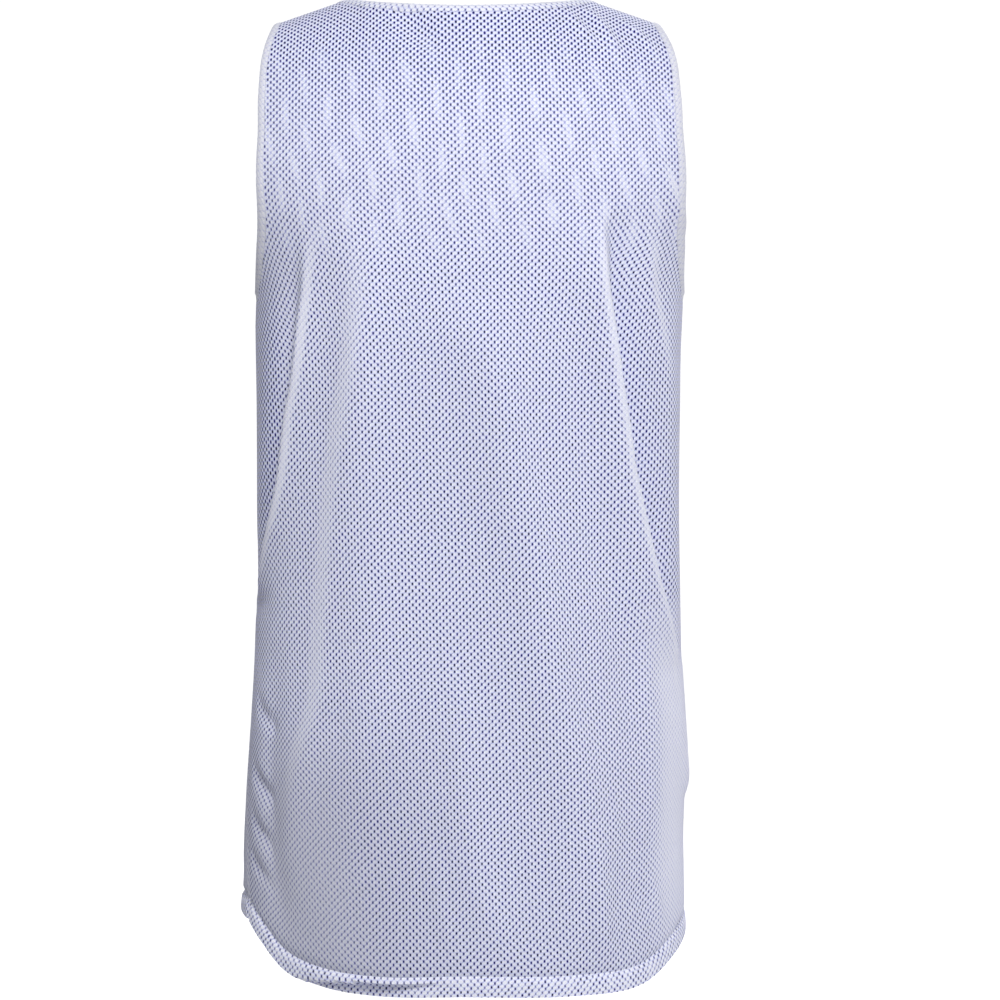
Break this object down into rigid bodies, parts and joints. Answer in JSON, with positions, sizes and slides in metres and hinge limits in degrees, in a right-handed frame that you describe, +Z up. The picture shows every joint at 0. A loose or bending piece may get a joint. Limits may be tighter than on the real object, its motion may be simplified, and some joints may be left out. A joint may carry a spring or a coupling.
{
  "type": "reversible basketball jersey",
  "caption": "Sleeveless reversible basketball jersey in mesh, white outside over blue inside, with a scooped neck, deep armholes and a long curved hem, filled out as if worn.",
  "frame": {"origin": "midway between the shoulder straps at the height of the neck points, where a wearer's shoulders hold the jersey up", "axes": "+Z up, +X towards the wearer's left, +Y out of the back (the side the picture shows), -Y out of the front"},
  "size_m": [0.3249, 0.2455, 0.7155],
  "materials": {
    "white_mesh": "matt white knitted mesh with small staggered holes",
    "blue_mesh": "matt navy blue knitted mesh with small staggered holes",
    "white_edge": "matt white turned and stitched edge of the same mesh"
  },
  "bodies": {
    "root": {"back_white": "white_mesh", "front_white": "white_mesh", "back_blue": "blue_mesh", "front_blue": "blue_mesh", "hem_back": "white_edge", "hem_front": "white_edge", "neck_edge": "white_edge", "armhole_edge_left": "white_edge", "armhole_edge_right": "white_edge"}
  },
  "joints": []
}
